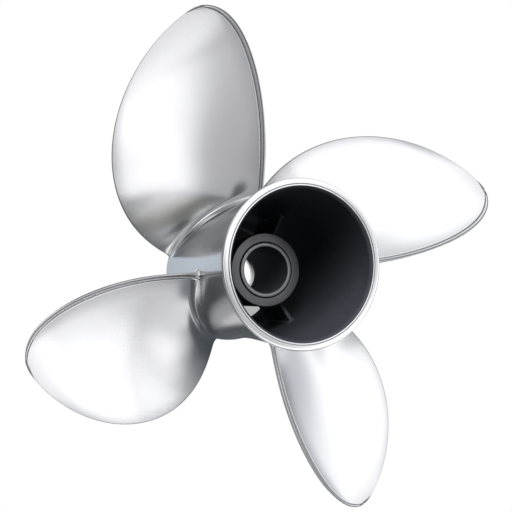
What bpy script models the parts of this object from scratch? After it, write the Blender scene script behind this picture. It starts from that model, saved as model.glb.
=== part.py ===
"""Left-hand boat propeller with four blades and the exhaust passage through its barrel.

Metres, +Z up. The origin is the centre of the barrel's front rim, where the propeller meets the
gearcase, and +Z runs along the shaft towards the stern. The blades' trailing edges face +Z.
"""

import math

import bmesh
import bpy

# Barrel, the hollow outer hub: widest at the front, waisted, and flared again at the aft lip
BARREL_LENGTH = 0.142
FRONT_R = 0.0610
FRONT_CHAMFER = 0.0010
WAIST_R = 0.0545
WAIST_Z = 0.0780
FLARE_R = 0.0566
LIP_R = 0.0570
LIP_DEPTH = 0.0030
LIP_FACE_OUTER_R = 0.0556
LIP_FACE_INNER_R = 0.0534
LIP_BORE_R = 0.0508
GROOVE_DEPTH = 0.0009
GROOVE_WIDTH = 0.0005
PASSAGE_R = 0.0500
FRONT_BORE_R = 0.0445
FLANGE_DEPTH = 0.0060
FLANGE_SLOPE = 0.0160
FLANGE_STEPS = 4
ROLL_STEPS = 3

# Inner hub and what it holds
HUB_R = 0.0286
HUB_FRONT_Z = 0.0160
HUB_AFT_Z = 0.0820
HUB_BORE_R = 0.0256
HUB_MOUTH_R = 0.0236
HUB_MOUTH_DEPTH = 0.0060
HUB_CHAMFER = 0.0008
SLEEVE_R = 0.0215
SLEEVE_BORE_R = 0.0181
SLEEVE_FRONT_Z = 0.0160
SLEEVE_AFT_Z = 0.0826
SLEEVE_BEVEL = 0.0009
BUSH_FRONT_Z = 0.0190
BUSH_CHAMFER = 0.0010

# Ribs between the hub and the barrel
RIB_COUNT = 3
RIB_FIRST_ANGLE = math.radians(57.4)
RIB_HALF_WIDTH = 0.0016
RIB_FLARE = 0.0026
RIB_FLARE_STEPS = 4
RIB_FRONT_Z = 0.0240
RIB_AFT_Z = 0.0690

# Blades, as a propeller is drawn: by radius, chord, skew, rake, pitch and thickness
BLADE_COUNT = 4
BLADE_FIRST_ANGLE = math.radians(121.1)
TIP_R = 0.1871
ROOT_R = 0.0526
ROOT_WIDTH = math.radians(70.7)
WIDTH_RISE = 1.89
WIDTH_FALL = 0.667
SKEW = math.radians(18.9)
SKEW_SHARES = (0.38, 0.62)
SKEW_RISE = 3.4
ROOT_MID_Z = 0.0420
RAKE = 0.0710
RAKE_SHARES = (0.62, 0.38)
PITCH = 0.411
CAMBER = 0.0042
CAMBER_CHORD = 0.1000
CUP = 0.0012
CUP_SHARE = 0.12
ROOT_THICKNESS = 0.0100
TIP_THICKNESS = 0.0026
EDGE_THICKNESS = 0.0024
EDGE_CHORD_SHARE = 0.3
ROUNDING_PLACE = 0.3
THICKNESS_FALL = 1.3
BELLY = 0.8
SIDE_FILLET = 0.0080
END_FILLET = 0.0020
TIP_TRIM = 0.0002
ROOT_SINK = 0.0020
SEAT_REACH = 0.0080

# Clearance between touching pieces, and how fine the curves are cut
SEAT_GAP = 0.0003
ROUND_STEPS = 64
SKIN_STEPS = 10
SIDE_STEPS = 10
BLADE_STEPS = 12
ROOT_STEPS = 8
MERGE = 0.00001

MATERIALS = {
    "polished_steel": ((0.80, 0.80, 0.82), 0.08, 1.0),
    "cast_steel": ((0.23, 0.23, 0.23), 0.45, 1.0),
    "machined_steel": ((0.42, 0.41, 0.40), 0.35, 1.0),
    "black_rubber": ((0.02, 0.02, 0.02), 0.80, 0.0),
}


def clear_objects():
    for obj in list(bpy.data.objects):
        bpy.data.objects.remove(obj, do_unlink=True)


def new_collection(name):
    collection = bpy.data.collections.new(name)
    bpy.context.scene.collection.children.link(collection)
    return collection


def finish(name):
    """A material of its own for one piece, from the named finish."""
    color, roughness, metallic = MATERIALS[name]
    material = bpy.data.materials.new(name)
    material.use_nodes = True
    shader = material.node_tree.nodes["Principled BSDF"]
    shader.inputs["Base Color"].default_value = (*color, 1.0)
    shader.inputs["Roughness"].default_value = roughness
    shader.inputs["Metallic"].default_value = metallic
    return material


def add_object(collection, name, mesh, material=None):
    obj = bpy.data.objects.new(name, mesh)
    collection.objects.link(obj)
    if material and not mesh.materials:
        mesh.materials.append(finish(material))
    return obj


def hide_cutter(obj):
    obj.hide_render = True
    obj.display_type = "WIRE"
    return obj


def boolean(obj, cutter, operation):
    modifier = obj.modifiers.new(cutter.name, "BOOLEAN")
    modifier.object = cutter
    modifier.operation = operation
    modifier.solver = "EXACT"


def turned(collection, name, profile, material=None):
    """Turns a closed profile of (radius, height) points, outer side first and top to bottom."""
    mesh = bpy.data.meshes.new(name)
    shape = bmesh.new()
    corners = [shape.verts.new((radius, 0.0, height)) for radius, height in profile]
    for start, end in zip(corners, corners[1:] + corners[:1]):
        shape.edges.new((start, end))
    shape.to_mesh(mesh)
    shape.free()
    obj = add_object(collection, name, mesh, material)
    screw = obj.modifiers.new("turn", "SCREW")
    screw.axis = "Z"
    screw.angle = math.tau
    screw.steps = ROUND_STEPS
    screw.render_steps = ROUND_STEPS
    screw.use_merge_vertices = True
    screw.merge_threshold = MERGE
    screw.use_smooth_shade = True
    return obj


def between(start, end, share):
    return start + (end - start) * share


def arc(center, radius, start, end, steps):
    """Points of a round stretch of a profile, in degrees from the radial direction."""
    turns = [math.radians(between(start, end, step / steps)) for step in range(steps + 1)]
    return [(center[0] + radius * math.cos(a), center[1] + radius * math.sin(a)) for a in turns]


def ease(start, end, steps):
    """Points of a smooth stretch that leaves its start and reaches its end parallel to the shaft."""
    points = []
    for step in range(1, steps):
        share = step / steps
        smooth = share * share * (3.0 - 2.0 * share)
        points.append((between(start[0], end[0], smooth), between(start[1], end[1], share)))
    return points


def barrel_radius(height):
    """Outer radius of the barrel's skin at a height above the front rim."""
    if height < WAIST_Z:
        return between(WAIST_R, FRONT_R, ((WAIST_Z - height) / WAIST_Z) ** 2)
    return between(WAIST_R, FLARE_R, ((height - WAIST_Z) / (BARREL_LENGTH - WAIST_Z)) ** 2)


def passage_profile():
    """Inner side of the barrel, from the front rim's flange up to the lip."""
    flange = (FRONT_BORE_R, FLANGE_DEPTH)
    passage = (PASSAGE_R, FLANGE_DEPTH + FLANGE_SLOPE)
    return [
        (FRONT_BORE_R, 0.0),
        flange,
        *ease(flange, passage, FLANGE_STEPS),
        passage,
        (PASSAGE_R, HUB_AFT_Z),
        (LIP_BORE_R, BARREL_LENGTH - LIP_DEPTH),
    ]


def skin_profile(gap=0.0):
    """Outer side of the barrel between the lip and the front rim, from the top down."""
    top = BARREL_LENGTH - LIP_DEPTH
    heights = [between(top, FRONT_CHAMFER, step / SKIN_STEPS) for step in range(SKIN_STEPS + 1)]
    return [(barrel_radius(height) + gap, height) for height in heights]


def build_barrel(parts):
    """Waisted barrel with a rolled lip, a fine groove round the lip and a flange inside its front."""
    top = BARREL_LENGTH
    roll = LIP_R - LIP_FACE_OUTER_R
    groove_r = LIP_FACE_INNER_R - GROOVE_WIDTH
    profile = [
        (LIP_FACE_INNER_R, top),
        *reversed(arc((LIP_FACE_OUTER_R, top - roll), roll, 0.0, 90.0, ROLL_STEPS)),
        *skin_profile(),
        (barrel_radius(0.0) - FRONT_CHAMFER, 0.0),
        *passage_profile(),
        (groove_r - GROOVE_WIDTH, top - GROOVE_DEPTH),
        (groove_r, top - GROOVE_DEPTH),
    ]
    return turned(parts, "outer_barrel", profile, "polished_steel")


def build_hub(parts):
    """Steel tube with a narrower mouth, so that the bush goes in from the front."""
    shoulder = HUB_AFT_Z - HUB_MOUTH_DEPTH
    profile = [
        (HUB_MOUTH_R, HUB_AFT_Z),
        (HUB_R - HUB_CHAMFER, HUB_AFT_Z),
        (HUB_R, HUB_AFT_Z - HUB_CHAMFER),
        (HUB_R, HUB_FRONT_Z + HUB_CHAMFER),
        (HUB_R - HUB_CHAMFER, HUB_FRONT_Z),
        (HUB_BORE_R, HUB_FRONT_Z),
        (HUB_BORE_R, shoulder - HUB_CHAMFER),
        (HUB_MOUTH_R, shoulder),
    ]
    return turned(parts, "inner_hub", profile, "cast_steel")


def build_sleeve(parts):
    """Drive sleeve with bevelled ends, open right through for the propeller shaft."""
    profile = [
        (SLEEVE_R - SLEEVE_BEVEL, SLEEVE_AFT_Z),
        (SLEEVE_R, SLEEVE_AFT_Z - SLEEVE_BEVEL),
        (SLEEVE_R, SLEEVE_FRONT_Z + SLEEVE_BEVEL),
        (SLEEVE_R - SLEEVE_BEVEL, SLEEVE_FRONT_Z),
        (SLEEVE_BORE_R + SLEEVE_BEVEL, SLEEVE_FRONT_Z),
        (SLEEVE_BORE_R, SLEEVE_FRONT_Z + SLEEVE_BEVEL),
        (SLEEVE_BORE_R, SLEEVE_AFT_Z - SLEEVE_BEVEL),
        (SLEEVE_BORE_R + SLEEVE_BEVEL, SLEEVE_AFT_Z),
    ]
    return turned(parts, "drive_sleeve", profile, "machined_steel")


def build_bush(parts):
    """Rubber bush that fills the space between the hub and the drive sleeve."""
    outer = HUB_BORE_R - SEAT_GAP
    inner = SLEEVE_R + SEAT_GAP
    aft = HUB_AFT_Z - HUB_MOUTH_DEPTH - 2.0 * HUB_CHAMFER
    profile = [
        (outer - BUSH_CHAMFER, aft),
        (outer, aft - BUSH_CHAMFER),
        (outer, BUSH_FRONT_Z + BUSH_CHAMFER),
        (outer - BUSH_CHAMFER, BUSH_FRONT_Z),
        (inner, BUSH_FRONT_Z),
        (inner, aft),
    ]
    return turned(parts, "rubber_bush", profile, "black_rubber")


def rib_outline():
    """Plan of one rib along +X, spread at both ends where it runs into the hub and the barrel."""
    upper = [(HUB_R - RIB_FLARE, RIB_HALF_WIDTH + RIB_FLARE)]
    for step in range(RIB_FLARE_STEPS + 1):
        turn = math.radians(90.0 * step / RIB_FLARE_STEPS)
        across = RIB_HALF_WIDTH + RIB_FLARE * (1.0 - math.sin(turn))
        upper.append((HUB_R + RIB_FLARE * (1.0 - math.cos(turn)), across))
    for step in range(RIB_FLARE_STEPS + 1):
        turn = math.radians(90.0 * step / RIB_FLARE_STEPS)
        across = RIB_HALF_WIDTH + RIB_FLARE * (1.0 - math.cos(turn))
        upper.append((PASSAGE_R - RIB_FLARE * (1.0 - math.sin(turn)), across))
    upper.append((WAIST_R, RIB_HALF_WIDTH + RIB_FLARE))
    lower = [(x, -y) for x, y in reversed(upper)]
    return lower + upper


def build_ribs(parts, cutters):
    """Three radial ribs, each an extruded plan trimmed to the space between hub and barrel."""
    space = [(radius - SEAT_GAP, height) for radius, height in passage_profile()]
    hub_side = HUB_R + SEAT_GAP
    room_profile = [*reversed(space), (hub_side, space[0][1]), (hub_side, space[-1][1])]
    room = hide_cutter(turned(cutters, "rib_room", room_profile))
    mesh = bpy.data.meshes.new("rib")
    shape = bmesh.new()
    corners = [shape.verts.new((x, y, RIB_FRONT_Z)) for x, y in rib_outline()]
    plan = shape.faces.new(corners)
    raised = bmesh.ops.extrude_face_region(shape, geom=[plan])["geom"]
    top = [item for item in raised if isinstance(item, bmesh.types.BMVert)]
    bmesh.ops.translate(shape, verts=top, vec=(0.0, 0.0, RIB_AFT_Z - RIB_FRONT_Z))
    bmesh.ops.recalc_face_normals(shape, faces=shape.faces)
    shape.to_mesh(mesh)
    shape.free()
    for index in range(RIB_COUNT):
        rib = add_object(parts, f"rib_{index + 1}", mesh.copy(), "cast_steel")
        rib.rotation_euler.z = RIB_FIRST_ANGLE + index * math.tau / RIB_COUNT
        boolean(rib, room, "INTERSECT")


def side_shares(chord, edge):
    """Places along one side of a section, from the trailing edge to the leading edge, as shares."""
    rounding = [ROUNDING_PLACE * edge / chord, edge / chord]
    waves = [0.5 - 0.5 * math.cos(math.pi * step / SIDE_STEPS) for step in range(1, SIDE_STEPS)]
    middle = [between(rounding[1], 1.0 - rounding[1], wave) for wave in waves]
    return rounding + middle + [1.0 - share for share in reversed(rounding)]


def fillet_share(radius, height):
    """How far the root fillet has grown at a point, from 0 above it to 1 at the barrel's skin."""
    above = min(max(radius - barrel_radius(height), 0.0), SIDE_FILLET)
    return 1.0 - math.sqrt(1.0 - (1.0 - above / SIDE_FILLET) ** 2)


def blade_section(radius):
    """Outline of the blade where a cylinder of this radius cuts it, round the aft face and back."""
    share = max(0.0, (radius - ROOT_R) / (TIP_R - ROOT_R))
    width = ROOT_WIDTH * (1.0 - share**WIDTH_RISE) ** WIDTH_FALL
    middle = -SKEW * (SKEW_SHARES[0] * share + SKEW_SHARES[1] * share**SKEW_RISE)
    height = ROOT_MID_Z + RAKE * (RAKE_SHARES[0] * share + RAKE_SHARES[1] * share**2)
    lead = PITCH / math.tau
    slant = math.hypot(radius, lead)
    chord = width * slant
    edge = min(0.5 * EDGE_THICKNESS, EDGE_CHORD_SHARE * chord)
    full = between(TIP_THICKNESS, ROOT_THICKNESS, (1.0 - share) ** THICKNESS_FALL) / 2.0
    depth = CAMBER * min(1.0, chord / CAMBER_CHORD) ** 2

    def point(place, side):
        along = (place - 0.5) * chord
        fillet = fillet_share(radius, height - along * lead / slant)
        along += (2.0 * place - 1.0) * END_FILLET * fillet
        bulge = 4.0 * place * (1.0 - place)
        nearest = min(place, 1.0 - place) * chord
        rounding = math.sqrt(1.0 - (1.0 - min(1.0, nearest / edge)) ** 2)
        half = edge + (full - edge) * bulge**BELLY
        half += fillet * between(END_FILLET, SIDE_FILLET, math.sqrt(bulge))
        cup = CUP * (1.0 - (1.0 - min(1.0, place / CUP_SHARE)) ** 2) * (1.0 - place) * share
        off_line = side * half * rounding - depth * bulge - cup
        angle = middle + (along * radius / slant + off_line * lead / slant) / radius
        z = height - along * lead / slant + off_line * radius / slant
        return radius * math.cos(angle), radius * math.sin(angle), z

    shares = side_shares(chord, edge)
    aft = [point(place, 1.0) for place in shares]
    forward = [point(place, -1.0) for place in reversed(shares)]
    return [point(0.0, 0.0), *aft, point(1.0, 0.0), *forward]


def blade_radii():
    """Radii of the sections, close together where the root fillet rises from the barrel's skin."""
    start = WAIST_R - ROOT_SINK
    end = FRONT_R + SIDE_FILLET
    radii = [between(start, end, step / ROOT_STEPS) for step in range(ROOT_STEPS + 1)]
    for step in range(1, BLADE_STEPS):
        radii.append(between(end, TIP_R, math.sin(0.5 * math.pi * step / BLADE_STEPS)))
    radii.append(TIP_R - TIP_TRIM)
    return radii


def build_blades(parts, cutters):
    """Four blades lofted through their sections, each seated on the barrel's skin."""
    skin = skin_profile(SEAT_GAP)
    seat_profile = [*skin, (skin[-1][0], -SEAT_REACH), (HUB_R, -SEAT_REACH), (HUB_R, skin[0][1])]
    seat = hide_cutter(turned(cutters, "blade_seat", seat_profile))
    mesh = bpy.data.meshes.new("blade")
    shape = bmesh.new()
    rings = []
    for radius in blade_radii():
        rings.append([shape.verts.new(corner) for corner in blade_section(radius)])
    for lower, upper in zip(rings, rings[1:]):
        for index in range(len(lower)):
            following = (index + 1) % len(lower)
            shape.faces.new((lower[index], lower[following], upper[following], upper[index]))
    shape.faces.new(rings[0])
    shape.faces.new(rings[-1])
    bmesh.ops.triangulate(shape, faces=shape.faces)
    bmesh.ops.recalc_face_normals(shape, faces=shape.faces)
    shape.to_mesh(mesh)
    shape.free()
    mesh.shade_smooth()
    for index in range(BLADE_COUNT):
        blade = add_object(parts, f"blade_{index + 1}", mesh.copy(), "polished_steel")
        blade.rotation_euler.z = BLADE_FIRST_ANGLE + index * math.tau / BLADE_COUNT
        boolean(blade, seat, "DIFFERENCE")


def main():
    clear_objects()
    parts = new_collection("boat_propeller")
    cutters = new_collection("cutters")
    build_barrel(parts)
    build_hub(parts)
    build_sleeve(parts)
    build_bush(parts)
    build_ribs(parts, cutters)
    build_blades(parts, cutters)


main()
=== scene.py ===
import logging
import math
from dataclasses import dataclass
from enum import Enum
from typing import Callable, Sequence

import bmesh
import bpy
from mathutils import Matrix, Vector


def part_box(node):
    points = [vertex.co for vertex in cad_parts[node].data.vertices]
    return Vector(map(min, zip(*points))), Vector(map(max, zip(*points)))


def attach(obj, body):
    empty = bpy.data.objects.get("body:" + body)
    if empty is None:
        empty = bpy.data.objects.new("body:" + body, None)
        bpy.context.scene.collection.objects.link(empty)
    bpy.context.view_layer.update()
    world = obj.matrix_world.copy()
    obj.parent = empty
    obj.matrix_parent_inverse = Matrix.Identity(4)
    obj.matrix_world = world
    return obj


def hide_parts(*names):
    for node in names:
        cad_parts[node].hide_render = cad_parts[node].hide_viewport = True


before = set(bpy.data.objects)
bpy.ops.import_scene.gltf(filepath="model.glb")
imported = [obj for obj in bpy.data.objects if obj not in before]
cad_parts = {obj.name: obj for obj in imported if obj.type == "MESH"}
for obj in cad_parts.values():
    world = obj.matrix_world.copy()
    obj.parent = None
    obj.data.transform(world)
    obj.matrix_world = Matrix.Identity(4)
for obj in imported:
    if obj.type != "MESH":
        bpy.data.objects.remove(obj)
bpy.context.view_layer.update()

LOG = logging.getLogger("boat_propeller")
BODY = "root"
DULL_AND_SHADE = "dull_and_shade"
JOIN_DISTANCE = 1e-6
FINE_JOIN_DISTANCE = 1e-7
ROUNDING_ROOM = 0.45

Pair = tuple[float, float]
Triple = tuple[float, float, float]
Profile = list[Pair]
Colour = Triple
Shape = bmesh.types.BMesh
Material = bpy.types.Material
Settings = dict[str, object]
Inputs = dict[str | int, object]

WHITE: Colour = (1.0, 1.0, 1.0)


class Slot(Enum):
    """Material slots of the record, one for each kind of finish."""

    POLISHED = "polished_steel"
    CAST = "cast_steel"
    MACHINED = "machined_steel"
    RUBBER = "black_rubber"


class Side(Enum):
    """The two sides of a blade section, by the sign of their offset from its mean line."""

    AFT = 1.0
    FORWARD = -1.0


def between(start: float, end: float, share: float) -> float:
    """Returns the number that lies at a share of the way from start to end."""
    return start + (end - start) * share


def eased(share: float) -> float:
    """Returns a share from 0 to 1 that starts and ends slowly."""
    return share * share * (3.0 - 2.0 * share)


def shares(steps: int) -> list[float]:
    """Returns the shares from 0 to 1 that cut a stretch into even steps."""
    return [step / steps for step in range(steps + 1)]


def fillet_share(above: float, size: float) -> float:
    """Returns how far a round fillet has grown, from 0 at its upper edge to 1 at its foot."""
    share = min(max(above, 0.0), size) / size
    return 1.0 - math.sqrt(1.0 - (1.0 - share) ** 2)


def towards(azimuth: float, elevation: float) -> Triple:
    """Returns the unit vector towards an azimuth and an elevation in degrees."""
    turn, climb = math.radians(azimuth), math.radians(elevation)
    return math.cos(turn) * math.cos(climb), math.sin(turn) * math.cos(climb), math.sin(climb)


def arc(centre: Pair, radius: float, start: float, end: float, steps: int) -> Profile:
    """Makes the points of a round stretch of a profile.

    Args:
        centre: Radius and height of the arc's centre.
        radius: The arc's own radius.
        start: First angle in degrees, from the outward direction.
        end: Last angle in degrees.
        steps: How many stretches the arc is cut into.

    Returns:
        The points from the first angle to the last.
    """
    turns = [math.radians(between(start, end, share)) for share in shares(steps)]
    return [(centre[0] + radius * math.cos(a), centre[1] + radius * math.sin(a)) for a in turns]


def rounded(corners: Sequence[Triple], steps: int) -> Profile:
    """Rounds the corners of a closed profile.

    Args:
        corners: Radius, height and rounding of each corner; a rounding of 0 keeps it sharp.
        steps: How many stretches each rounding is cut into.

    Returns:
        The profile's points in the same order.
    """
    points: Profile = []
    for index, (radius, height, size) in enumerate(corners):
        here = Vector((radius, height))
        before = Vector(corners[index - 1][:2]) - here
        after = Vector(corners[(index + 1) % len(corners)][:2]) - here
        if size <= 0.0:
            points.append((radius, height))
            continue
        reach = min(size, ROUNDING_ROOM * before.length, ROUNDING_ROOM * after.length)
        start = here + before.normalized() * reach
        end = here + after.normalized() * reach
        for share in shares(steps):
            first = start.lerp(here, share)
            second = here.lerp(end, share)
            points.append(tuple(first.lerp(second, share)))
    return points


@dataclass(frozen=True)
class Value:
    """An output of a shader graph that ordinary arithmetic works on."""

    graph: "Graph"
    socket: bpy.types.NodeSocket

    def __add__(self, other: "Value | float") -> "Value":
        """Adds."""
        return self.graph.maths("ADD", self, other)

    def __rsub__(self, other: float) -> "Value":
        """Subtracts from a plain number."""
        return self.graph.maths("SUBTRACT", other, self)

    def __mul__(self, other: "Value | float") -> "Value":
        """Multiplies."""
        return self.graph.maths("MULTIPLY", self, other)

    __radd__ = __add__
    __rmul__ = __mul__


def opaque(colour: Value | Colour) -> Value | tuple[float, float, float, float]:
    """Returns a plain colour with full alpha, and a worked-out one as it is."""
    return colour if isinstance(colour, Value) else (*colour, 1.0)


@dataclass(frozen=True)
class Grain:
    """One pattern of noise: its scale, and the detail and roughness of what is finer."""

    scale: float
    detail: float
    roughness: float = 0.5


class Graph:
    """A node tree of a material or a world, filled from Python expressions."""

    def __init__(self, owner: "Material | bpy.types.World") -> None:
        """Gives the owner nodes and empties their tree."""
        owner.use_nodes = True
        self.tree = owner.node_tree
        self.tree.nodes.clear()

    def make(self, kind: str, settings: Settings | None, inputs: Inputs | None) -> bpy.types.Node:
        """Adds a node.

        Args:
            kind: The node's type name.
            settings: Its properties, set first.
            inputs: A constant or a Value for each socket, by name or index.

        Returns:
            The node.
        """
        made = self.tree.nodes.new(kind)
        for name, value in (settings or {}).items():
            setattr(made, name, value)
        for name, value in (inputs or {}).items():
            if isinstance(value, Value):
                self.tree.links.new(value.socket, made.inputs[name])
            else:
                made.inputs[name].default_value = value
        return made

    def node(
        self, kind: str, settings: Settings | None = None, inputs: Inputs | None = None, output: str | int = 0
    ) -> Value:
        """Adds a node as make() does and returns the output with the given name or index."""
        return Value(self, self.make(kind, settings, inputs).outputs[output])

    def close(self, surface: Value, kind: str = "ShaderNodeOutputMaterial") -> None:
        """Ends the graph with its output node."""
        self.make(kind, None, {"Surface": surface})

    def place(self) -> Value:
        """Returns the place on the object, in metres."""
        return self.node("ShaderNodeTexCoord", output="Object")

    def noise(self, place: Value, grain: Grain) -> Value:
        """Returns noise from 0 to 1."""
        inputs = {"Vector": place, "Scale": grain.scale, "Detail": grain.detail, "Roughness": grain.roughness}
        return self.node("ShaderNodeTexNoise", None, inputs, "Fac")

    def maths(self, operation: str, *numbers: Value | float) -> Value:
        """Returns what a Math node works out."""
        return self.node("ShaderNodeMath", {"operation": operation}, dict(enumerate(numbers)))

    def measured(self, operation: str, *places: Value | Colour) -> Value:
        """Returns the number that a Vector Math node works out."""
        return self.node("ShaderNodeVectorMath", {"operation": operation}, dict(enumerate(places)), "Value")

    def stretched(self, place: Value, scale: Triple) -> Value:
        """Returns a place that is scaled on its own for each axis."""
        return self.node("ShaderNodeMapping", None, {"Vector": place, "Scale": scale})

    def radius(self, place: Value) -> Value:
        """Returns the distance of a place from the shaft's axis."""
        return self.measured("LENGTH", self.stretched(place, (1.0, 1.0, 0.0)))

    def fade(self, value: Value, low: float, high: float) -> Value:
        """Returns a smooth 0 to 1 as a value climbs from low to high."""
        settings = {"interpolation_type": "SMOOTHSTEP"}
        return self.node("ShaderNodeMapRange", settings, {"Value": value, "From Min": low, "From Max": high})

    def mix(self, share: Value, first: Value | Colour, second: Value | Colour) -> Value:
        """Returns a colour between two others."""
        inputs = {0: share, 6: opaque(first), 7: opaque(second)}
        return self.node("ShaderNodeMix", {"data_type": "RGBA", "clamp_factor": True}, inputs, 2)

    def bump(self, height: Value, depth: float) -> Value:
        """Returns a normal that a height from 0 to 1 raises by a depth in metres."""
        inputs = {"Height": height, "Distance": depth, "Strength": 1.0}
        return self.node("ShaderNodeBump", None, inputs, "Normal")

    def glow(self, colour: Value | Colour) -> Value:
        """Returns a surface that glows evenly in a colour."""
        return self.node("ShaderNodeEmission", None, {"Color": opaque(colour), "Strength": 1.0})


class Finish:
    """What every finish has: a name, and a shader whose sockets it fills."""

    name: str

    def sockets(self, graph: Graph) -> Inputs:
        """Returns a constant or a Value for each socket that the finish sets."""
        raise NotImplementedError

    def material(self) -> Material:
        """Makes the Blender material."""
        made = bpy.data.materials.new(self.name)
        graph = Graph(made)
        graph.close(graph.node("ShaderNodeBsdfPrincipled", None, self.sockets(graph)))
        return made


@dataclass(frozen=True)
class PolishedSteel(Finish):
    """Mirror-polished stainless steel, with the faint waves and smears that hand polishing leaves.

    It gets a little rougher from the blades' roots outwards, and goes dark grey where the mesh's mark is set:
    on edges left from grinding, which are partly real and partly painted shade, and as painted shade in
    grooves, on the barrel's skin and at one blade's tip.
    """

    name: str = "polished_steel"
    colour: Colour = (0.64, 0.64, 0.65)
    smear_colour: Colour = (0.60, 0.60, 0.61)
    smear: Grain = Grain(34.0, 4.0, 0.6)
    wave: Grain = Grain(22.0, 1.0, 0.3)
    wave_depth: float = 0.00008
    hair: Grain = Grain(900.0, 2.0)
    hair_stretch: Triple = (1.0, 0.12, 0.35)
    low_roughness: float = 0.09
    roughness_range: float = 0.12
    buffed_roughness: float = 0.10
    buffed_radii: Pair = (0.066, 0.086)
    # Dark colours that the mesh's mark blends in: real grinding on the edges, with painted shade along them,
    # in grooves, on the barrel's skin and at one blade's tip.
    ground_and_shade_colour: Colour = (0.025, 0.025, 0.028)
    ground_and_shade_light: Colour = (0.060, 0.060, 0.065)
    ground_and_shade_patch: Grain = Grain(260.0, 3.0, 0.6)
    ground_and_shade_limits: Pair = (0.35, 0.65)
    ground_roughness: float = 0.20

    def sockets(self, graph: Graph) -> Inputs:
        """Returns what the shader is given."""
        place = graph.place()
        smear = graph.noise(place, self.smear)
        hair = graph.noise(graph.stretched(place, self.hair_stretch), self.hair)
        # The mark darkens and roughens the steel: partly real grinding, partly painted shade.
        dull_and_shade = graph.node("ShaderNodeAttribute", {"attribute_name": DULL_AND_SHADE}, None, "Fac")
        patch = graph.fade(graph.noise(place, self.ground_and_shade_patch), *self.ground_and_shade_limits)
        ground_and_shade = graph.mix(patch, self.ground_and_shade_colour, self.ground_and_shade_light)
        buffed = graph.fade(graph.radius(place), *self.buffed_radii)
        rough = self.low_roughness + self.buffed_roughness * buffed
        rough = rough + self.roughness_range * smear * hair + self.ground_roughness * dull_and_shade
        polished = graph.mix(smear, self.colour, self.smear_colour)
        return {
            "Base Color": graph.mix(dull_and_shade, polished, ground_and_shade),
            "Metallic": 1.0,
            "Roughness": rough,
            "Normal": graph.bump(graph.noise(place, self.wave), self.wave_depth),
        }


@dataclass(frozen=True)
class CastSteel(Finish):
    """Dark cast steel with a blasted, grainy skin."""

    name: str = "cast_steel"
    colour: Colour = (0.0110, 0.0116, 0.0140)
    light_colour: Colour = (0.0200, 0.0206, 0.0235)
    specular: float = 0.15
    grain: Grain = Grain(1400.0, 3.0, 0.65)
    grain_depth: float = 0.00012
    stain: Grain = Grain(60.0, 5.0, 0.6)
    low_roughness: float = 0.42
    roughness_range: float = 0.22

    def sockets(self, graph: Graph) -> Inputs:
        """Returns what the shader is given."""
        place = graph.place()
        grain = graph.noise(place, self.grain)
        return {
            "Base Color": graph.mix(graph.noise(place, self.stain), self.colour, self.light_colour),
            "Specular IOR Level": self.specular,
            "Roughness": self.low_roughness + self.roughness_range * grain,
            "Normal": graph.bump(grain, self.grain_depth),
        }


@dataclass(frozen=True)
class Rubber(CastSteel):
    """Black moulded rubber, whose matt, slightly chalky skin is made in the cast steel's way."""

    name: str = "black_rubber"
    colour: Colour = (0.012, 0.012, 0.013)
    light_colour: Colour = (0.030, 0.030, 0.031)
    specular: float = 0.5
    grain: Grain = Grain(2200.0, 3.0)
    grain_depth: float = 0.00005
    stain: Grain = Grain(2200.0, 3.0)
    low_roughness: float = 0.65
    roughness_range: float = 0.2


@dataclass(frozen=True)
class TurnedSteel(Finish):
    """Machined steel with the fine rings that a lathe tool leaves round the shaft's axis."""

    name: str = "turned_steel"
    colour: Colour = (0.122, 0.122, 0.123)
    dark_colour: Colour = (0.075, 0.076, 0.079)
    metallic: float = 0.9
    ring_pitch: float = 0.00035
    ring_depth: float = 0.000012
    stain: Grain = Grain(90.0, 5.0, 0.6)
    low_roughness: float = 0.30
    roughness_range: float = 0.16

    def sockets(self, graph: Graph) -> Inputs:
        """Returns what the shader is given."""
        place = graph.place()
        height = graph.node("ShaderNodeSeparateXYZ", None, {0: place}, "Z")
        turn = (graph.radius(place) + height) * (math.tau / self.ring_pitch)
        ring = graph.maths("SINE", turn)
        stain = graph.noise(place, self.stain)
        return {
            "Base Color": graph.mix(stain, self.colour, self.dark_colour),
            "Metallic": self.metallic,
            "Roughness": self.low_roughness + self.roughness_range * stain,
            "Normal": graph.bump(0.5 + 0.5 * ring, self.ring_depth),
        }


def spin(shape: Shape, corners: list[bmesh.types.BMVert], closed: bool, steps: int) -> None:
    """Joins a profile's corners by edges and spins them a full turn round the shaft's axis.

    Args:
        shape: The shape that holds the corners.
        corners: The corners in order.
        closed: Whether the last corner is joined to the first.
        steps: How many stretches the full turn has.
    """
    following = corners[1:] + corners[:1] if closed else corners[1:]
    edges = [shape.edges.new(pair) for pair in zip(corners, following)]
    bmesh.ops.spin(
        shape,
        geom=corners + edges,
        cent=(0.0, 0.0, 0.0),
        axis=(0.0, 0.0, 1.0),
        angle=math.tau,
        steps=steps,
        use_merge=True,
    )
    bmesh.ops.remove_doubles(shape, verts=shape.verts, dist=JOIN_DISTANCE)


def turned(profile: Profile, steps: int, dullness_and_shade: Callable[[float, float], float] | None = None) -> Shape:
    """Spins a closed profile round the shaft's axis.

    Args:
        profile: Radius and height of each point, in either direction round.
        steps: How many stretches the full turn has.
        dullness_and_shade: Says how far the steel is dulled and darkened at a radius and a height, from 0 to
            1, partly by real grinding and partly by painted shade.

    Returns:
        A closed shape with its faces pointing out.
    """
    shape = bmesh.new()
    dull_and_shade = shape.verts.layers.float.new(DULL_AND_SHADE)
    corners = [shape.verts.new((radius, 0.0, height)) for radius, height in profile]
    if dullness_and_shade:
        for corner in corners:
            corner[dull_and_shade] = dullness_and_shade(corner.co.x, corner.co.z)
    spin(shape, corners, True, steps)
    bmesh.ops.recalc_face_normals(shape, faces=shape.faces)
    return shape


def zipped(row: Sequence[Vector]) -> list[Vector]:
    """Returns an outline pressed flat, midway between its two sides, which closes a shape's end."""
    return [(point + row[-index]) / 2.0 for index, point in enumerate(row)]


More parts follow.
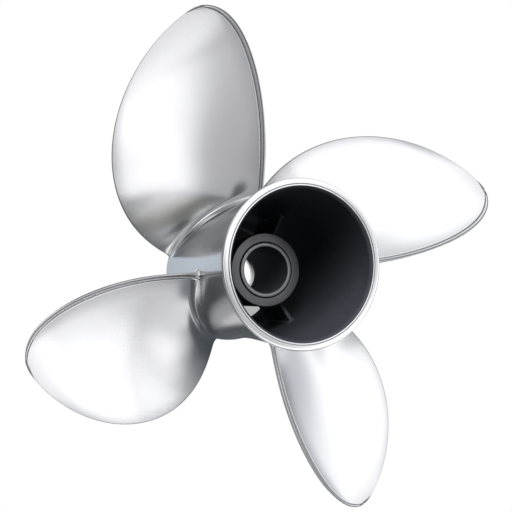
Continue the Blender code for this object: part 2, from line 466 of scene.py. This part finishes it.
def wrapped(rows: Sequence[Sequence[Vector]], marks: Sequence[Sequence[float]] | None = None) -> Shape:
    """Wraps a grid round a row of closed outlines and closes both its ends.

    Args:
        rows: Outlines with the same number of points, from one end of the shape to the other.
        marks: How far the steel is dulled and darkened at each of these points, from 0 to 1, partly by real
            grinding and partly by painted shade.

    Returns:
        A closed shape with its faces pointing out.
    """
    around = len(rows[0])
    shape = bmesh.new()
    bmesh.ops.create_grid(shape, x_segments=around, y_segments=len(rows) - 1, size=0.5)
    shape.verts.ensure_lookup_table()
    dull_and_shade = shape.verts.layers.float.new(DULL_AND_SHADE)
    for index, vert in enumerate(list(shape.verts)):
        row, column = divmod(index, around + 1)
        vert.co = rows[row][column % around]
        if marks:
            vert[dull_and_shade] = marks[row][column % around]
    bmesh.ops.remove_doubles(shape, verts=shape.verts, dist=FINE_JOIN_DISTANCE)
    bmesh.ops.holes_fill(shape, edges=shape.edges, sides=0)
    bmesh.ops.recalc_face_normals(shape, faces=shape.faces)
    return shape


def solid(name: str, shape: Shape) -> bpy.types.Object:
    """Turns a shape into a smooth object of the scene, and frees it.

    Args:
        name: The name of the object and its mesh.
        shape: The finished shape.

    Returns:
        The new object.
    """
    mesh = bpy.data.meshes.new(name)
    shape.to_mesh(mesh)
    shape.free()
    mesh.shade_smooth()
    made = bpy.data.objects.new(name, mesh)
    bpy.context.scene.collection.objects.link(made)
    return made


@dataclass
class Workshop:
    """Turns shapes into the propeller's pieces and keeps one material for each finish."""

    sharp_angle: float = math.radians(38.0)

    def __post_init__(self) -> None:
        """Makes the materials."""
        self.polished = PolishedSteel().material()
        self.cast = CastSteel().material()
        # A darker copy of the cast steel, for the inside of the barrel.
        self.darker_cast = CastSteel(
            name="darker_cast_steel",
            colour=(0.0046, 0.0050, 0.0065),
            light_colour=(0.0084, 0.0088, 0.0107),
        ).material()
        self.turned = TurnedSteel().material()
        self.bright = TurnedSteel(
            name="bright_turned_steel",
            colour=(0.225, 0.227, 0.230),
            dark_colour=(0.144, 0.147, 0.151),
        ).material()
        self.rubber = Rubber().material()

    def piece(self, name: str, shape: Shape, finishes: list[Material], slot: Slot, node: str) -> None:
        """Makes one piece that stands for a node.

        Args:
            name: The piece's name.
            shape: Its finished shape.
            finishes: Its materials, in the order of its faces' material indices.
            slot: The record's material slot; not used.
            node: The node that it replaces.
        """
        made = solid(name, shape)
        for finish in finishes:
            made.data.materials.append(finish)
        made.data.set_sharp_from_angle(angle=self.sharp_angle)
        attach(made, BODY)
        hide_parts(node)
        LOG.info("%s: %d faces", name, len(made.data.polygons))


@dataclass(frozen=True)
class Barrel:
    """The hollow barrel: its waisted skin, its lip with a groove, and the passage inside."""

    length: float
    front_r: float = 0.0610
    waist_r: float = 0.0545
    flare_r: float = 0.0566
    waist_z: float = 0.0780
    lip_r: float = 0.0570
    lip_depth: float = 0.0030
    lip_roll: float = 0.0014
    groove_outer_r: float = 0.0532
    groove_inner_r: float = 0.0525
    groove_depth: float = 0.0006
    groove_slope: float = 0.0002
    groove_rounding: float = 0.00018
    bore_depth: float = 0.0040
    bore_bevel: float = 0.0018
    bore_roundings: Pair = (0.0010, 0.0008)
    passage_r: float = 0.0500
    front_bore_r: float = 0.0445
    front_bore_bevel: float = 0.0004
    front_chamfer: float = 0.0010
    flange_depth: float = 0.0060
    flange_slope: float = 0.0160
    cast_margin: float = 0.0001
    flat_facing: float = 0.9
    # Painted shade darkens the skin and the groove; the lip's outer edge is partly real grinding, partly
    # painted shade.
    skin_shade: float = 0.40
    groove_shade: float = 0.55
    edge_dullness_and_shade: float = 0.50
    edge_width: float = 0.0007
    lip_steps: int = 8
    slope_steps: int = 12
    skin_steps: int = 64
    turn_steps: int = 192

    def radius(self, height: float) -> float:
        """Works out the skin's radius.

        Args:
            height: Height above the front rim.

        Returns:
            The radius there, which is smallest at the waist.
        """
        if height < self.waist_z:
            return between(self.waist_r, self.front_r, ((self.waist_z - height) / self.waist_z) ** 2)
        share = (height - self.waist_z) / (self.length - self.waist_z)
        return between(self.waist_r, self.flare_r, share**2)

    def skin(self) -> Profile:
        """Returns the outer side from under the lip down to the front rim."""
        top = self.length - self.lip_depth
        heights = [between(top, self.front_chamfer, share) for share in shares(self.skin_steps)]
        return [(self.radius(height), height) for height in heights]

    def lip(self) -> Profile:
        """Returns the lip from its bore, over the groove, to its rolled outer edge."""
        top = self.length
        floor = top - self.groove_depth
        fine = self.groove_rounding
        roll_r = self.lip_r - self.lip_roll
        corners = [
            (self.passage_r, top - self.bore_depth, 0.0),
            (self.passage_r, top - self.bore_bevel, self.bore_roundings[0]),
            (self.passage_r + self.bore_bevel, top, self.bore_roundings[1]),
            (self.groove_inner_r, top, fine),
            (self.groove_inner_r + self.groove_slope, floor, fine),
            (self.groove_outer_r - self.groove_slope, floor, fine),
            (self.groove_outer_r, top, fine),
            (roll_r, top, 0.0),
        ]
        roll = arc((roll_r, top - self.lip_roll), self.lip_roll, 90.0, 0.0, self.lip_steps)
        return [*rounded(corners, self.lip_steps)[:-1], *roll]

    def passage(self) -> Profile:
        """Returns the inner side from the front rim up to just below the lip."""
        slope: Profile = []
        for share in shares(self.slope_steps):
            height = self.flange_depth + self.flange_slope * share
            slope.append((between(self.front_bore_r, self.passage_r, eased(share)), height))
        rim = [
            (self.radius(0.0) - self.front_chamfer, 0.0),
            (self.front_bore_r + self.front_bore_bevel, 0.0),
            (self.front_bore_r, self.front_bore_bevel),
        ]
        return [*rim, *slope, (self.passage_r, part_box("inner_hub")[1].z)]

    def dullness_and_shade(self, radius: float, height: float) -> float:
        """Works out how far the steel is darkened: painted shade over the skin and in the groove, and on the
        lip's outer edge a mark that is partly real grinding and partly painted shade.

        Args:
            radius: Distance from the shaft's axis.
            height: Height above the front rim.

        Returns:
            The darkening from 0 to 1.
        """
        depth = self.length - height
        if depth > 2.0 * self.lip_depth:
            # Painted shade over the whole skin.
            return self.skin_shade
        if radius > self.lip_r - self.edge_width or (depth > self.lip_roll and radius > self.groove_outer_r):
            return self.edge_dullness_and_shade
        return self.groove_shade if self.groove_inner_r < radius < self.groove_outer_r else 0.0

    def build(self, workshop: Workshop) -> None:
        """Makes the barrel: polished outside and on the lip, turned on the front rim, cast inside.

        Args:
            workshop: Makes the piece.
        """
        shape = turned([*self.lip(), *self.skin(), *self.passage()], self.turn_steps, self.dullness_and_shade)
        cast_r = self.passage_r + self.bore_bevel
        for face in shape.faces:
            centre = face.calc_center_median()
            radius = math.hypot(centre.x, centre.y)
            if radius < cast_r and self.front_chamfer < centre.z < self.length - self.cast_margin:
                face.material_index = 1
            elif centre.z < 0.5 * self.front_chamfer and face.normal.z < -self.flat_facing:
                face.material_index = 2
        finishes = [workshop.polished, workshop.darker_cast, workshop.turned]
        workshop.piece("polished_barrel", shape, finishes, Slot.POLISHED, "outer_barrel")


@dataclass(frozen=True)
class Blade:
    """One blade, drawn as a propeller is: by radius, chord, skew, rake, pitch and thickness."""

    barrel: Barrel
    number: int
    count: int = 4
    first_angle: float = math.radians(121.1)
    tip_r: float = 0.18707
    root_r: float = 0.0526
    root_width: float = math.radians(70.7)
    width_rise: float = 1.89
    width_fall: float = 0.667
    skew: float = math.radians(18.9)
    skew_shares: Pair = (0.38, 0.62)
    skew_rise: float = 3.4
    root_mid_z: float = 0.0420
    rake: float = 0.0710
    rake_shares: Pair = (0.62, 0.38)
    pitch: float = 0.411
    camber: float = 0.0042
    camber_chord: float = 0.1000
    cup: float = 0.0012
    cup_share: float = 0.12
    root_thickness: float = 0.0100
    tip_thickness: float = 0.0026
    edge_thickness: float = 0.0024
    edge_chord_share: float = 0.3
    thickness_fall: float = 1.3
    belly: float = 0.8
    side_fillet: float = 0.0080
    end_fillet: float = 0.0020
    tip_trim: float = 0.0001
    root_sink: float = 0.0004
    bead_width: float = 0.0034
    bead_height: float = 0.00030
    bead_groove: float = 0.00045
    bead_groove_half: float = 0.00055
    bead_zone: float = 0.0060
    bead_chord_share: float = 0.4
    bead_chord: float = 0.0300
    trailing_squareness: float = 3.6
    leading_squareness: float = 2.0
    # Bands along the edges: partly real grinding and polishing haze, partly painted shade.
    ground_and_shade_width: Pair = (0.0009, 0.0019)
    edge_dullness_and_shade: float = 0.20
    haze_and_shade_width: float = 0.0180
    haze_and_shade_dullness: float = 0.30
    # Painted shade: only blade 1's tip is darkened.
    shaded_tip: int = 1
    tip_shade_start: float = 0.1550
    tip_shade: float = 0.36
    # Painted shade in the bead's groove.
    groove_shade: float = 0.95
    edge_steps: int = 9
    bead_steps: int = 16
    side_steps: int = 42
    fillet_steps: int = 20
    span_steps: int = 70
    settle_steps: int = 7

    @property
    def angle(self) -> float:
        """Angle of the root's middle round the shaft."""
        return self.first_angle + (self.number - 1) * math.tau / self.count

    @property
    def stations(self) -> int:
        """Number of stretches along one side of a section."""
        return 2 * self.edge_steps + self.bead_steps + self.side_steps

    def place(self, index: int, edge_share: float, bead_share: float) -> float:
        """Returns how far along the chord a point of one side lies.

        Args:
            index: The point's number, from 0 at the trailing edge.
            edge_share: Share of the chord that each round edge takes.
            bead_share: Share of the chord where the trailing edge's bead ends.

        Returns:
            The place from 0 at the trailing edge to 1 at the leading edge.
        """
        side_start = self.edge_steps + self.bead_steps
        side_end = side_start + self.side_steps
        if index <= self.edge_steps:
            return edge_share * (1.0 - math.cos(0.5 * math.pi * index / self.edge_steps))
        if index <= side_start:
            return between(edge_share, bead_share, (index - self.edge_steps) / self.bead_steps)
        if index <= side_end:
            wave = 0.5 - 0.5 * math.cos(math.pi * (index - side_start) / self.side_steps)
            return between(bead_share, 1.0 - edge_share, wave)
        return 1.0 - edge_share * (1.0 - math.cos(0.5 * math.pi * (self.stations - index) / self.edge_steps))

    def bead(self, inward: float, chord: float) -> float:
        """Works out how far the rolled bead stands above the aft side.

        Args:
            inward: Distance from the trailing edge.
            chord: The section's chord.

        Returns:
            The height, below zero in the groove beside the bead.
        """
        middle = 0.5 * self.bead_width
        ridge = self.bead_height * math.exp(-(((inward - middle) / middle) ** 2))
        valley = self.bead_groove * math.exp(-(((inward - self.bead_width) / self.bead_groove_half) ** 2))
        return (ridge - valley) * min(1.0, chord / self.bead_chord)

    def span_share(self, radius: float) -> float:
        """Returns how far out a radius lies, from 0 at the root to 1 at the tip."""
        return max(0.0, (radius - self.root_r) / (self.tip_r - self.root_r))

    def chord(self, radius: float) -> float:
        """Returns the length of the section at a radius."""
        width = self.root_width * (1.0 - self.span_share(radius) ** self.width_rise) ** self.width_fall
        return width * math.hypot(radius, self.pitch / math.tau)

    def spot(self, radius: float, index: int) -> Triple:
        """Works out where a point lies on its section.

        Args:
            radius: Distance from the shaft's axis.
            index: Its number along the side.

        Returns:
            The section's chord, the width of its round edges and the point's place along the chord.
        """
        chord = self.chord(radius)
        edge = min(0.5 * self.edge_thickness, self.edge_chord_share * chord)
        bead_share = min(self.bead_zone / chord, self.bead_chord_share)
        return chord, edge, self.place(index, edge / chord, bead_share)

    def dullness_and_shade(self, radius: float, index: int, side: Side) -> float:
        """Works out how far the steel is darkened: edges left from grinding with a hazy band inside them,
        partly real and partly painted shade, and painted shade in the bead's groove.

        Args:
            radius: Distance from the shaft's axis.
            index: Its number along the side.
            side: Which side of the section it is on.

        Returns:
            The darkening from 0 to 1.
        """
        chord, edge, place = self.spot(radius, index)
        nearest = min(place * chord, (1.0 - place) * chord, self.tip_r - radius)
        start, end = self.ground_and_shade_width
        ground_and_shade = 1.0 - eased(min(max((nearest - start) / (end - start), 0.0), 1.0))
        ground_and_shade *= between(self.edge_dullness_and_shade, 1.0, min(1.0, nearest / start))
        ground_and_shade = max(ground_and_shade, self.haze_and_shade_dullness * (1.0 - min(1.0, nearest / self.haze_and_shade_width)) ** 2)
        # Painted shade at blade 1's tip.
        if self.number == self.shaded_tip:
            outward = max(0.0, (radius - self.tip_shade_start) / (self.tip_r - self.tip_shade_start))
            ground_and_shade = max(ground_and_shade, self.tip_shade * outward)
        if side is Side.FORWARD:
            return ground_and_shade if nearest < edge else 0.0
        # Painted shade in the bead's groove beside the trailing edge.
        groove = math.exp(-(((place * chord - self.bead_width) / self.bead_groove_half) ** 2))
        return max(ground_and_shade, self.groove_shade * groove)

    def point(self, radius: float, above: float, index: int, side: Side) -> Vector:
        """Works out one point of the section that a cylinder round the shaft cuts from the blade.

        Args:
            radius: The cylinder's radius.
            above: Height above the barrel's skin, which the root fillet depends on.
            index: Its number along the side.
            side: Which side of the section it is on.

        Returns:
            The point in the part's frame.
        """
        share = self.span_share(radius)
        middle = -self.skew * (self.skew_shares[0] * share + self.skew_shares[1] * share**self.skew_rise)
        height = self.root_mid_z + self.rake * (self.rake_shares[0] * share + self.rake_shares[1] * share**2)
        lead = self.pitch / math.tau
        slant = math.hypot(radius, lead)
        chord, edge, place = self.spot(radius, index)
        full = 0.5 * between(self.tip_thickness, self.root_thickness, (1.0 - share) ** self.thickness_fall)
        reach = min(1.0, chord / self.camber_chord)
        depth = self.camber * reach**3 * (4.0 - 3.0 * reach)
        fillet = fillet_share(above, self.side_fillet)
        bulge = 4.0 * place * (1.0 - place)
        nearest = min(place, 1.0 - place) * chord
        power = self.trailing_squareness if place < 0.5 else self.leading_squareness
        rounding = (1.0 - (1.0 - min(1.0, nearest / edge)) ** power) ** (1.0 / power)
        half = edge + (full - edge) * bulge**self.belly
        half += fillet * between(self.end_fillet, self.side_fillet, math.sqrt(bulge))
        lift = (1.0 - min(1.0, place / self.cup_share)) ** 2
        cup = self.cup * (1.0 - lift) * (1.0 - place) * share
        along = (place - 0.5) * chord + (2.0 * place - 1.0) * self.end_fillet * fillet
        bead = self.bead(place * chord, chord) * (1.0 - fillet) if side is Side.AFT else 0.0
        off_line = side.value * half * rounding + bead * rounding - depth * bulge - cup
        turn = self.angle + middle + (along * radius / slant + off_line * lead / slant) / radius
        z = height - along * lead / slant + off_line * radius / slant
        return Vector((radius * math.cos(turn), radius * math.sin(turn), z))

    def seated(self, base: float, climb: float, index: int, side: Side) -> Vector:
        """Works out a point on a row that runs along the barrel's skin near the root.

        Args:
            base: Height of the row above the skin at the root.
            climb: Share of the way from there to the tip's radius.
            index: Its number along the side.
            side: Which side of the section it is on.

        Returns:
            The point in the part's frame.
        """
        above = base if climb == 0.0 else self.side_fillet
        end = self.tip_r - self.tip_trim
        radius = between(self.barrel.waist_r + base, end, climb)
        for _ in range(self.settle_steps):
            found = self.point(radius, above, index, side)
            start = self.barrel.radius(min(max(found.z, 0.0), self.barrel.length)) + base
            radius = between(start, end, climb)
        return self.point(radius, above, index, side)

    def row(self, base: float, climb: float) -> list[Vector]:
        """Returns one outline."""
        return [self.seated(base, climb, index, side) for index, side in self.course()]

    def course(self) -> list[tuple[int, Side]]:
        """Returns the number and side of each point of an outline, out along the aft side and back."""
        aft = [(index, Side.AFT) for index in range(self.stations + 1)]
        forward = [(index, Side.FORWARD) for index in range(self.stations - 1, 0, -1)]
        return aft + forward

    def rows(self) -> list[list[Vector]]:
        """Returns the outlines from under the barrel's skin to the tip."""
        turns = [0.5 * math.pi * step / self.fillet_steps for step in range(self.fillet_steps + 1)]
        rises = [self.side_fillet * (1.0 - math.cos(turn)) for turn in turns]
        rows = [self.row(-self.root_sink, 0.0)]
        rows += [self.row(rise, 0.0) for rise in rises]
        for step in range(1, self.span_steps + 1):
            rows.append(self.row(self.side_fillet, math.sin(0.5 * math.pi * step / self.span_steps)))
        return rows

    def build(self, workshop: Workshop) -> None:
        """Makes the blade.

        Args:
            workshop: Makes the piece.
        """
        rows = self.rows()
        rows.insert(0, zipped(rows[0]))
        marks = [
            [self.dullness_and_shade(math.hypot(point.x, point.y), *spot) for point, spot in zip(row, self.course())]
            for row in rows
        ]
        shape = wrapped(rows, marks)
        name = f"polished_blade_{self.number}"
        workshop.piece(name, shape, [workshop.polished], Slot.POLISHED, f"blade_{self.number}")


@dataclass(frozen=True)
class InnerHub:
    """The steel tube inside the barrel, with the rubber and the drive sleeve that it holds."""

    hub_r: float = 0.0286
    bore_r: float = 0.0256
    mouth_r: float = 0.0220
    mouth_depth: float = 0.0060
    edge: float = 0.0008
    inner_edge: float = 0.0004
    sleeve_r: float = 0.0214
    sleeve_bore_r: float = 0.0181
    sleeve_bevel: float = 0.0012
    seat_gap: float = 0.0003
    bush_edge: float = 0.0010
    bush_inner_edge: float = 0.0006
    end_facing: float = 0.3
    edge_steps: int = 6
    bush_steps: int = 5
    turn_steps: int = 160

    def hub(self) -> Profile:
        """Returns the tube's profile, from its aft mouth outwards and round."""
        low, high = (corner.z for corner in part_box("inner_hub"))
        shoulder = high - self.mouth_depth
        corners = [
            (self.mouth_r, high, self.inner_edge),
            (self.hub_r, high, self.edge),
            (self.hub_r, low, self.edge),
            (self.bore_r, low, self.inner_edge),
            (self.bore_r, shoulder, self.inner_edge),
            (self.mouth_r, shoulder, self.inner_edge),
        ]
        return rounded(corners, self.edge_steps)

    def sleeve(self) -> Profile:
        """Returns the drive sleeve's profile."""
        low, high = (corner.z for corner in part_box("drive_sleeve"))
        corners = [
            (self.sleeve_r, high, self.sleeve_bevel),
            (self.sleeve_r, low, self.sleeve_bevel),
            (self.sleeve_bore_r, low, self.sleeve_bevel),
            (self.sleeve_bore_r, high, self.sleeve_bevel),
        ]
        return rounded(corners, self.edge_steps)

    def bush(self) -> Profile:
        """Returns the rubber's profile, rounded at both ends."""
        low, high = (corner.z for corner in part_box("rubber_bush"))
        outer = self.bore_r - self.seat_gap
        inner = self.sleeve_r + self.seat_gap
        corners = [
            (outer, high, self.bush_edge),
            (outer, low, self.bush_edge),
            (inner, low, self.bush_inner_edge),
            (inner, high, self.bush_inner_edge),
        ]
        return rounded(corners, self.bush_steps)

    def build(self, workshop: Workshop) -> None:
        """Makes the hub, the drive sleeve and the bush.

        Args:
            workshop: Makes the pieces.
        """
        hub = turned(self.hub(), self.turn_steps)
        for face in hub.faces:
            face.material_index = 1 if abs(face.normal.z) > self.end_facing else 0
        workshop.piece("cast_hub", hub, [workshop.cast, workshop.turned], Slot.CAST, "inner_hub")
        sleeve = turned(self.sleeve(), self.turn_steps)
        middle_r = 0.5 * (self.sleeve_r + self.sleeve_bore_r)
        for face in sleeve.faces:
            centre = face.calc_center_median()
            inside = math.hypot(centre.x, centre.y) < middle_r and abs(face.normal.z) < self.end_facing
            face.material_index = 1 if inside else 0
        finishes = [workshop.bright, workshop.cast]
        workshop.piece("turned_sleeve", sleeve, finishes, Slot.MACHINED, "drive_sleeve")
        bush = turned(self.bush(), self.turn_steps)
        workshop.piece("moulded_bush", bush, [workshop.rubber], Slot.RUBBER, "rubber_bush")


@dataclass(frozen=True)
class Rib:
    """One radial rib between the hub and the barrel, spread at both ends where it runs into them."""

    barrel: Barrel
    hub: InnerHub
    number: int
    count: int = 3
    first_angle: float = math.radians(57.4)
    half_width: float = 0.0016
    spread: float = 0.0026
    edge: float = 0.0006
    seat_gap: float = 0.0002
    length_steps: int = 40
    edge_steps: int = 4

    def half(self, radius: float) -> float:
        """Returns half the rib's width at a radius, which grows towards the hub and the barrel."""
        nearest = min(radius - self.hub.hub_r, self.barrel.passage_r - radius)
        return self.half_width + self.spread * fillet_share(nearest, self.spread)

    def outline(self, radius: float, low: float, high: float) -> list[Vector]:
        """Works out the rib's outline, with rounded long edges.

        Args:
            radius: Distance from the shaft's axis.
            low: Height of the rib's front edge.
            high: Height of its aft edge.

        Returns:
            The outline's points in the part's frame.
        """
        half = self.half(radius)
        corners = [
            (half, high, self.edge),
            (half, low, self.edge),
            (-half, low, self.edge),
            (-half, high, self.edge),
        ]
        turn = Matrix.Rotation(self.first_angle + (self.number - 1) * math.tau / self.count, 3, "Z")
        return [turn @ Vector((radius, across, up)) for across, up in rounded(corners, self.edge_steps)]

    def build(self, workshop: Workshop) -> None:
        """Makes the rib.

        Args:
            workshop: Makes the piece.
        """
        start = self.hub.hub_r + self.seat_gap
        end = self.barrel.passage_r - self.seat_gap
        steps = self.length_steps
        waves = [0.5 - 0.5 * math.cos(math.pi * step / steps) for step in range(steps + 1)]
        low, high = (corner.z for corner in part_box(f"rib_{self.number}"))
        shape = wrapped([self.outline(between(start, end, wave), low, high) for wave in waves])
        workshop.piece(f"cast_rib_{self.number}", shape, [workshop.cast], Slot.CAST, f"rib_{self.number}")


@dataclass(frozen=True)
class Panel:
    """One soft-edged stretch of the light: a lamp, a card or a darker wall, with its angles in degrees."""

    azimuth: float
    elevation: float
    inner: float
    outer: float
    colour: Colour

    def share(self, graph: Graph, direction: Value) -> Value:
        """Works out how much of a direction's light comes from this panel.

        Args:
            graph: The world's graph.
            direction: The direction that is looked in.

        Returns:
            The share from 0 to 1.
        """
        facing = graph.measured("DOT_PRODUCT", direction, towards(self.azimuth, self.elevation))
        return graph.fade(facing, math.cos(math.radians(self.outer)), math.cos(math.radians(self.inner)))


@dataclass(frozen=True)
class Pool:
    """One soft-edged round patch of shade on the floor, as the steel mirrors it."""

    x: float
    y: float
    inner: float
    outer: float
    colour: Colour

    def share(self, graph: Graph, place: Value) -> Value:
        """Works out how much of a place on the floor lies in this patch.

        Args:
            graph: The floor's graph.
            place: The place on the floor.

        Returns:
            The share from 0 to 1.
        """
        away = graph.measured("DISTANCE", place, (self.x, self.y, 0.0))
        return 1.0 - graph.fade(away, self.inner, self.outer)


@dataclass(frozen=True)
class Studio:
    """The pale floor, the soft light round it, and the camera at the photo's angle."""

    floor_z: float = -0.0002
    floor_r: float = 2.4
    sweep_r: float = 1.2
    wall_height: float = 2.4
    sweep_steps: int = 16
    round_steps: int = 96
    tent: Colour = (1.75, 1.75, 1.77)
    panels: tuple[Panel, ...] = tuple(
        Panel(*row)
        for row in (
            (0, -90, 78, 98, (0.12, 0.13, 0.145)),
            (-48, -25, 12, 26, (2.7, 2.7, 2.7)),
            (-90, -40, 14, 28, (3.0, 3.0, 3.0)),
            (135, -38, 12, 28, (1.2, 1.2, 1.1)),
            (145, -54, 6, 16, (0.3, 0.3, 0.28)),
            (122, -27, 6, 20, (2.4, 2.4, 2.4)),
            (178, -33, 6, 20, (0.4, 0.4, 0.36)),
            (-162, -45, 8, 16, (1.0, 1.0, 1.0)),
            (-130, -32, 8, 16, (1.05, 1.05, 1.05)),
            (-164, -16, 4, 9, (1.9, 1.9, 1.9)),
            (58, -29, 10, 24, (2.6, 2.6, 2.6)),
            (4, -22, 7, 16, (1.75, 1.75, 1.77)),
            (-172, 33, 20, 50, (0.69, 0.69, 0.72)),
            (-168, 38, 5, 14, (0.5, 0.5, 0.53)),
            (-136, 3, 14, 34, (0.6, 0.61, 0.62)),
            (172, 6, 12, 34, (0.5, 0.51, 0.52)),
            (-159, 19.5, 1.5, 7, (0.13, 0.13, 0.15)),
            (-176, 8, 2, 6, (0.05, 0.05, 0.06)),
            (164, 2, 3, 8, (1.9, 1.9, 1.9)),
            (-146, 10, 1.5, 6, (0.06, 0.06, 0.07)),
            (-131, 6, 1.5, 5, (2.0, 2.0, 2.0)),
            (150, 64, 18, 30, (1.75, 1.75, 1.77)),
            (-152, 54, 8, 15, (0.66, 0.66, 0.69)),
            (-138, 43, 5, 15, (0.66, 0.66, 0.69)),
            (-60, 82, 8, 19, (0.25, 0.26, 0.28)),
            (-18, 68, 5, 9, (0.8, 0.8, 0.82)),
            (3, 54, 4, 9, (1.05, 1.05, 1.08)),
            (-34, 6, 12, 26, (1.75, 1.75, 1.77)),
            (20, -2, 14, 30, (1.75, 1.75, 1.77)),
            (-47, -6, 8, 15, (1.05, 1.05, 1.08)),
            (33, 6, 2, 9, (0.8, 0.8, 0.84)),
            (56, 27, 3, 8, (0.85, 0.86, 0.89)),
            (-62, -43, 6, 17, (3.0, 3.0, 3.0)),
            (-65, 10, 8, 24, (0.75, 0.75, 0.78)),
            (-51, 4, 5, 11, (0.95, 0.95, 0.98)),
            (-82, -8, 13, 22, (0.13, 0.14, 0.15)),
            (-60, -14, 4, 11, (0.25, 0.26, 0.28)),
            (-68, -26, 6, 12, (2.4, 2.4, 2.4)),
            (2, -6, 5, 26, (0.82, 0.84, 0.9)),
            (-31, -10, 1, 9, (0.7, 0.7, 0.72)),
            (-13, -8, 8, 18, (0.09, 0.105, 0.12)),
            (-11, 5, 2, 8, (0.3, 0.31, 0.34)),
            (80, 22, 4, 16, (1.02, 1.05, 1.08)),
        )
    )
    shade_height: float = -0.0005
    shade_r: float = 0.40
    pools: tuple[Pool, ...] = (
        Pool(0.04, -0.035, 0.12, 0.155, (0.09, 0.105, 0.115)),
        Pool(-0.072, 0.025, 0.022, 0.036, (0.95, 1.05, 1.15)),
    )
    key_azimuth: float = 112.0
    key_elevation: float = 34.0
    key_strength: float = 28.0
    key_width: float = math.radians(50.0)
    rim_gap: float = 0.0005
    bright_bore: Pair = (0.020, 0.024)
    dark_side: Pair = (-0.012, 0.012)
    inner_glow: float = 0.45
    inner_shade: float = 0.004
    camera_place: Triple = (-0.15926, 0.0, 0.42571)
    camera_aim: Triple = (-0.0717513, -0.0141453, 0.082)
    camera_roll: float = math.radians(90.926)
    focal_mm: float = 33.76
    sensor_mm: float = 36.0
    shift: Pair = (0.1486, 0.0885)

    def sheet(self, name: str, profile: Profile) -> tuple[bpy.types.Object, Graph]:
        """Spins an open profile into a sheet of the studio, with an empty material.

        Args:
            name: The sheet's name.
            profile: Radius and height of each point, from the middle out.

        Returns:
            The new object and its material's graph.
        """
        shape = bmesh.new()
        corners = [shape.verts.new((radius, 0.0, height)) for radius, height in profile]
        spin(shape, corners, False, self.round_steps)
        made = solid(name, shape)
        paint = bpy.data.materials.new(name)
        made.data.materials.append(paint)
        made.visible_shadow = False
        return made, Graph(paint)

    @property
    def rim(self) -> float:
        """Radius at which the floor passes from outside the barrel's front rim to inside."""
        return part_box("outer_barrel")[1].x - self.rim_gap

    def floor(self) -> None:
        """Makes the pale floor, which curves up into a round wall far away."""
        sweep = arc((self.floor_r, self.sweep_r + self.floor_z), self.sweep_r, -90.0, 0.0, self.sweep_steps)
        wall = (self.floor_r + self.sweep_r, self.wall_height)
        made, graph = self.sheet("floor", [(self.rim, self.floor_z), *sweep, wall])
        graph.close(graph.glow(WHITE))
        made.visible_glossy = False

    def inner_floor(self) -> None:
        """Makes the floor inside the front rim: bright under the bore, in the barrel's shade on one side."""
        made, graph = self.sheet("floor_inside", [(0.0, self.floor_z), (self.rim, self.floor_z)])
        place = graph.place()
        up = graph.node("ShaderNodeSeparateXYZ", None, {0: place}, "Y")
        away = graph.measured("LENGTH", place)
        shade = graph.fade(up, *self.dark_side)
        glow = graph.mix(shade, (self.inner_glow,) * 3, (self.inner_shade,) * 3)
        graph.close(graph.glow(graph.mix(graph.fade(away, *self.bright_bore), WHITE, glow)))
        made.visible_glossy = False

    def shade(self) -> None:
        """Makes the shade under the blades, which only the polished steel sees."""
        made, graph = self.sheet("floor_shade", [(0.0, self.shade_height), (self.shade_r, self.shade_height)])
        place = graph.place()
        colour: Value | Colour = self.pools[0].colour
        clear: Value | float = 1.0
        for pool in self.pools:
            share = pool.share(graph, place)
            colour = graph.mix(share, colour, pool.colour)
            clear = clear * (1.0 - share)
        gap = graph.node("ShaderNodeBsdfTransparent")
        graph.close(graph.node("ShaderNodeMixShader", None, {0: clear, 1: graph.glow(colour), 2: gap}))
        made.visible_camera = False
        made.visible_diffuse = False

    def light(self) -> None:
        """Makes the soft light: a white tent, with each panel laid over those before it."""
        world = bpy.data.worlds.new("studio")
        graph = Graph(world)
        direction = graph.node("ShaderNodeTexCoord", output="Generated")
        colour: Value | Colour = self.tent
        for panel in self.panels:
            colour = graph.mix(panel.share(graph, direction), colour, panel.colour)
        glow = graph.node("ShaderNodeBackground", None, {"Color": colour, "Strength": 1.0})
        graph.close(glow, "ShaderNodeOutputWorld")
        bpy.context.scene.world = world

    def key(self) -> None:
        """Makes the soft key light, which reaches the matt inside of the barrel."""
        data = bpy.data.lights.new("key", "SUN")
        data.energy = self.key_strength
        data.angle = self.key_width
        made = bpy.data.objects.new("key", data)
        source = Vector(towards(self.key_azimuth, self.key_elevation))
        made.rotation_euler = source.to_track_quat("Z", "Y").to_euler()
        made.visible_glossy = False
        bpy.context.scene.collection.objects.link(made)

    def camera(self) -> None:
        """Makes the camera, which looks down from astern and from the left."""
        data = bpy.data.cameras.new("camera")
        data.lens = self.focal_mm
        data.sensor_width = self.sensor_mm
        data.shift_x, data.shift_y = self.shift
        made = bpy.data.objects.new("camera", data)
        made.location = self.camera_place
        direction = Vector(self.camera_aim) - Vector(self.camera_place)
        turn = direction.to_track_quat("-Z", "Y").to_matrix()
        made.rotation_euler = (turn @ Matrix.Rotation(self.camera_roll, 3, "Z")).to_euler()
        bpy.context.scene.collection.objects.link(made)
        bpy.context.scene.camera = made

    def build(self) -> None:
        """Makes the studio."""
        self.floor()
        self.inner_floor()
        self.shade()
        self.light()
        self.key()
        self.camera()
        bpy.context.scene.view_settings.view_transform = "Standard"


def main() -> None:
    """Builds the dressed propeller and its studio."""
    logging.basicConfig(level=logging.INFO, format="%(name)s: %(message)s")
    workshop = Workshop()
    barrel = Barrel(length=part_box("outer_barrel")[1].z)
    hub = InnerHub()
    barrel.build(workshop)
    hub.build(workshop)
    for number in range(1, Rib.count + 1):
        Rib(barrel, hub, number).build(workshop)
    for number in range(1, Blade.count + 1):
        Blade(barrel, number).build(workshop)
    Studio().build()


if __name__ == "__main__":
    main()
